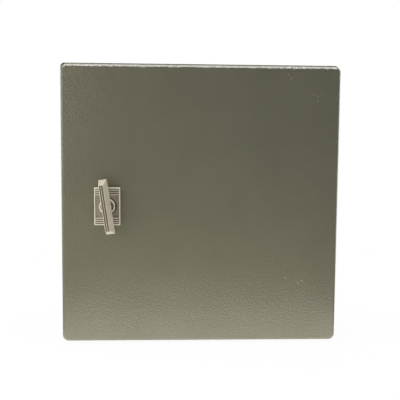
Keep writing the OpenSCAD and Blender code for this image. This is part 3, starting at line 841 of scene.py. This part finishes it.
GRIP_BACK = 160.0
GRIP_FRONT = 177.0
GRIP_BACK_SIZE = (9.0, 58.0)
GRIP_FRONT_SIZE = (5.0, 47.0)
GRIP_SHIFT = -1.3
GRIP_EDGE = 0.6
GRIP_CORNER = (0.8, 0.55)
GROOVE_W = 1.3
GROOVE_RIB = 0.8
GROOVE_DEEP = 1.0
GROOVE_EDGE = 0.3
GROOVE_REACH = 40.0
FLANGE_FRONT = 152.6
NECK_R = 4.25
SPINDLE_R = 5.5
FLANGE_R = 6.75
FLANGE_EDGE = 0.3
SQUARE_W = 7.0
SQUARE_L = 4.0
SPINDLE_END = 2.8


def grip_rings():
    """The tapered T-grip with rounded edges, leaning to one side at its front."""
    rings = []
    for z, inset in edge_steps(GRIP_BACK, GRIP_FRONT, GRIP_EDGE):
        t = (z - GRIP_BACK) / (GRIP_FRONT - GRIP_BACK)
        wide, tall = (a + (b - a) * t - 2 * inset for a, b in zip(GRIP_BACK_SIZE, GRIP_FRONT_SIZE))
        corner = GRIP_CORNER[0] + (GRIP_CORNER[1] - GRIP_CORNER[0]) * t - inset * 0.6
        rings.append(rounded_rect(wide, tall, corner, z, (GRIP_SHIFT * t, 0.0)))
    return rings


def make_handle():
    spindle = at(LOCK_X, LOCK_Y, 0, LOCK_TILT)
    grooves = Drawing()
    for side in (-1, 1):
        x = GRIP_SHIFT + side * (GROOVE_RIB + GROOVE_W) / 2
        low, high = GRIP_FRONT - GROOVE_DEEP, GRIP_FRONT + 1
        left, right = x - GROOVE_W / 2, x + GROOVE_W / 2
        section = soften([(left, low), (right, low), (right, high), (left, high)], GROOVE_EDGE)
        grooves.loft([[(px, y, pz) for px, pz in section] for y in (-GROOVE_REACH, GROOVE_REACH)], spindle)
    grip = cut_away(Drawing().loft(grip_rings(), spindle).mesh("grip"), grooves.mesh("grooves"))

    end = front_box("t_handle")[0].z
    turned = [
        (NECK_R, GRIP_BACK + 1), (NECK_R, FLANGE_FRONT + 1.2), (NECK_R + 0.35, FLANGE_FRONT + 0.35),
        (NECK_R + 1.2, FLANGE_FRONT), (FLANGE_R - FLANGE_EDGE, FLANGE_FRONT),
        (FLANGE_R, FLANGE_FRONT - FLANGE_EDGE), (FLANGE_R, PLATE_BACK),
        (SPINDLE_R, PLATE_BACK), (SPINDLE_R, end + SPINDLE_END),
    ]
    shaft = Drawing().loft(lathe(turned, 72), spindle)
    square = []
    for z, inset in edge_steps(end, end + SQUARE_L, 0.3):
        side = SQUARE_W - 2 * inset
        square.append(rounded_rect(side, side, 0.8, z))
    shaft.loft(square, spindle)
    handle = show(joined("t_grip", grip, shaft.mesh("shaft")), "t_grip", "t_handle")
    back = spindle.inverted()
    groove_half = GROOVE_RIB / 2 + GROOVE_W

    def groove_shade_faces(middle, normal):
        spot = back @ middle
        sunk = GRIP_FRONT - GROOVE_DEEP - 0.1 < spot.z < GRIP_FRONT - 0.05
        return sunk and abs(spot.x - GRIP_SHIFT) < groove_half

    # Painted shade: the grip's grooves in dark brown
    repaint(handle, GROOVE_SHADE, groove_shade_faces)


CAM_W = 16.0
CAM_REACH = 43.0
CAM_EDGE = 0.5
CAM_WASHER_R = 7.0
CAM_SCREW_HEAD = 4.0
CAM_SCREW_FACE = 3.8
CAM_SCREW_TURN = 13


def make_cam():
    spindle = at(LOCK_X, LOCK_Y, 0, LOCK_TILT)
    low, high = front_box("lock_cam")
    length = CAM_REACH + CAM_W / 2
    middle = (0.0, CAM_W / 2 - length / 2)
    rings = []
    for z, inset in edge_steps(low.z, high.z, CAM_EDGE):
        corner = CAM_W / 2 - inset
        rings.append(rounded_rect(CAM_W - 2 * inset, length - 2 * inset, corner, z, middle, steps=14))
    Drawing().loft(rings, spindle).piece("cam_lever", "lock_cam")

    low, high = front_box("cam_washer")
    washer = Drawing().loft(washer_rings(CAM_WASHER_R, M5.hole, low.z, high.z), spindle, loop=True)
    washer.piece("cam_disc", "cam_washer")

    low, high = front_box("cam_screw")
    flat = hexagon(M5.nut)
    face = CAM_SCREW_FACE
    head = low.z + CAM_SCREW_HEAD
    rings = [
        polar(face * 0.62, low.z + 0.25, 72),
        polar(face * 0.7, low.z, 72),
        polar(face, low.z, 72),
        polar(flat, lambda angle: low.z + (flat(angle) - face) * NUT_SLOPE, 72),
        polar(flat, head, 72),
        polar(M5.radius, head, 72),
        polar(M5.radius, high.z, 72),
    ]
    Drawing().loft(rings, spindle @ at(turn=CAM_SCREW_TURN)).piece("cam_bolt", "cam_screw")


# Hinges

PIN_R = 2.0
PIN_GROOVE_R = 1.5
PIN_CHAMFER = 0.4
PIN_TIP = 1.2
PIN_HEAD_R = 3.2
PIN_HEAD_T = 1.5
CLIP_R = 3.15
CLIP_T = 0.8
CLIP_STEPS = 40
CLIP_START = 35
CLIP_SWEEP = 290


def make_hinge_pins():
    place = at(AXIS["door_swing"].x, 0, -AXIS["door_swing"].y, -90, "X")
    clips = Drawing()
    for name in ("upper_hinge_pin", "lower_hinge_pin"):
        low, high = front_box(name)
        head = high.y - PIN_HEAD_T
        groove = low.y + PIN_TIP
        turned = [
            (PIN_GROOVE_R, low.y), (PIN_R, low.y + PIN_CHAMFER), (PIN_R, groove), (PIN_GROOVE_R, groove),
            (PIN_GROOVE_R, groove + CLIP_T), (PIN_R, groove + CLIP_T), (PIN_R, head), (2.95, head),
            (PIN_HEAD_R, head + 0.25), (PIN_HEAD_R, head + 0.85), (2.9, head + 1.25), (2.2, high.y),
        ]
        Drawing().loft(lathe(turned), place).piece(name.replace("pin", "rivet"), name)
        inner = PIN_GROOVE_R + 0.05
        strip = [(inner, groove), (CLIP_R, groove), (CLIP_R, groove + CLIP_T), (inner, groove + CLIP_T)]
        section = soften(strip, 0.15)
        rings = []
        for i in range(CLIP_STEPS + 1):
            angle = math.radians(CLIP_START + CLIP_SWEEP * i / CLIP_STEPS)
            rings.append([(r * math.cos(angle), r * math.sin(angle), z) for r, z in section])
        clips.loft(rings, place)
    clips.piece("retaining_clips", "hinge_pin_clips")


# Edge radius of the CAD pieces that are shown as they are, by their finish
CAD_EDGES = {"hinge_steel": 0.35, "galvanised_sheet": 0.3}


def round_edges(node, width):
    """Rounds the sharp edges of a CAD node that is shown as it is."""
    shown = NODES[node]
    shown.modifiers.new("join", "WELD").merge_threshold = 1e-6
    flat = shown.modifiers.new("flat", "DECIMATE")
    flat.decimate_type = "DISSOLVE"
    flat.angle_limit = math.radians(1)
    edge = shown.modifiers.new("edge", "BEVEL")
    edge.width = width * MM
    edge.segments = 3
    edge.limit_method = "ANGLE"
    edge.angle_limit = math.radians(40)
    edge.harden_normals = True


def round_cad_edges():
    for node in NODES:
        if SLOT_OF[node] in CAD_EDGES:
            round_edges(node, CAD_EDGES[SLOT_OF[node]])


# Stage and light

FLOOR_SIZE = 8.0
FLOOR_GAP = 0.0003
FLOOR_NEAR = 0.25
FLOOR_FAR = 0.7
FLOOR_WHITE = 0.96


def seen_rays(tree):
    """1 for rays from the camera and for reflected and refracted ones, 0 for light that falls on things."""
    path = tree.nodes.new("ShaderNodeLightPath")
    shine = tree.nodes.new("ShaderNodeMath")
    shine.operation = "MAXIMUM"
    tree.links.new(path.outputs["Is Glossy Ray"], shine.inputs[0])
    tree.links.new(path.outputs["Is Transmission Ray"], shine.inputs[1])
    seen = tree.nodes.new("ShaderNodeMath")
    seen.operation = "MAXIMUM"
    tree.links.new(path.outputs["Is Camera Ray"], seen.inputs[0])
    tree.links.new(shine.outputs[0], seen.inputs[1])
    return seen.outputs[0]


def floor_material():
    """White where it is seen, with some of the object's shadow left close to it."""
    s = Shader("floor")
    span = s.add("VectorMath", {"operation": "LENGTH"})
    s.feed(span.inputs[0], s.place)
    white_share = s.ramp(span.outputs["Value"], FLOOR_NEAR, FLOOR_FAR, FLOOR_WHITE, 1.0)
    share = s.math("MULTIPLY", seen_rays(s.tree), white_share)
    pale = s.add("BsdfDiffuse", Color=(0.8, 0.8, 0.8, 1))
    white = s.add("Emission", Color=(1, 1, 1, 1))
    mix = s.add("MixShader")
    s.feed(mix.inputs[0], share)
    s.feed(mix.inputs[1], pale.outputs[0])
    s.feed(mix.inputs[2], white.outputs[0])
    output = s.add("OutputMaterial")
    s.feed(output.inputs["Surface"], mix.outputs[0])
    return s.material


def make_floor():
    mesh = bpy.data.meshes.new("floor")
    half = FLOOR_SIZE / 2
    corners = [(-half, -half, 0), (half, -half, 0), (half, half, 0), (-half, half, 0)]
    mesh.from_pydata(corners, [], [(0, 1, 2, 3)])
    mesh.materials.append(floor_material())
    floor = bpy.data.objects.new("floor", mesh)
    floor.location.z = CAD_LOW.z - FLOOR_GAP
    bpy.context.scene.collection.objects.link(floor)


AMBIENT = 0.06


def make_world():
    world = bpy.data.worlds.new("world")
    bpy.context.scene.world = world
    world.use_nodes = True
    tree = world.node_tree
    tree.nodes.clear()
    level = tree.nodes.new("ShaderNodeMapRange")
    level.inputs["To Min"].default_value = AMBIENT
    level.inputs["To Max"].default_value = 1.0
    tree.links.new(seen_rays(tree), level.inputs["Value"])
    back = tree.nodes.new("ShaderNodeBackground")
    back.inputs["Color"].default_value = (1, 1, 1, 1)
    tree.links.new(level.outputs[0], back.inputs["Strength"])
    output = tree.nodes.new("ShaderNodeOutputWorld")
    tree.links.new(back.outputs[0], output.inputs["Surface"])


# Soft boxes: name, place, what it points at, width and height, brightness
LIGHTS = [
    ("left_card", (-0.30, -0.33, 0.0), (0.0, -0.20, 0.0), (0.30, 0.5), 1.0),
    ("upper_left_card", (-0.30, -0.30, 0.18), (0.0, -0.18, 0.05), (0.30, 0.3), 1.5),
    ("table", (0.008, -0.2225, -0.1495), (0.008, -0.2225, 1.0), (0.36, 0.145), 2.25),
    ("right", (0.9, -0.33, 0.05), (0.0, -0.16, 0.0), (0.32, 0.7), 2.6),
    ("top", (0.0, -0.20, 0.80), (0.0, -0.16, 0.0), (0.8, 0.12), 20.0),
    ("top_back", (0.0, 0.08, 0.80), (0.0, -0.10, 0.147), (0.8, 0.32), 6.0),
    ("left_side", (-0.80, 0.05, 0.05), (-0.15, -0.07, 0.0), (0.18, 0.6), 6.5),
    ("right_side", (0.80, 0.05, 0.05), (0.15, -0.07, 0.0), (0.18, 0.6), 6.5),
    ("back", (0.0, 1.0, 0.4), (0.0, 0.0, 0.0), (1.0, 0.8), 2.0),
]

# Kept out of reflections, where they would clip to white on faces seen at a low angle
UNREFLECTED = {"back"}


def make_lights():
    for name, place, aim, size, level in LIGHTS:
        data = bpy.data.lights.new(name, "AREA")
        data.shape = "RECTANGLE"
        data.size, data.size_y = size
        data.energy = level * math.pi * size[0] * size[1]
        light = bpy.data.objects.new(name, data)
        light.location = place
        light.rotation_euler = (Vector(aim) - Vector(place)).to_track_quat("-Z", "Y").to_euler()
        light.visible_camera = False
        light.visible_glossy = name not in UNREFLECTED
        bpy.context.scene.collection.objects.link(light)


# Build

make_camera()
dress_cad_nodes()
make_door_seal()
make_gaskets()
make_mounting_fasteners()
make_gland_fasteners()
make_earth_studs()
make_lock_housing()
make_handle()
make_cam()
make_hinge_pins()
round_cad_edges()
make_floor()
make_world()
make_lights()
bpy.context.scene.view_settings.view_transform = "Standard"
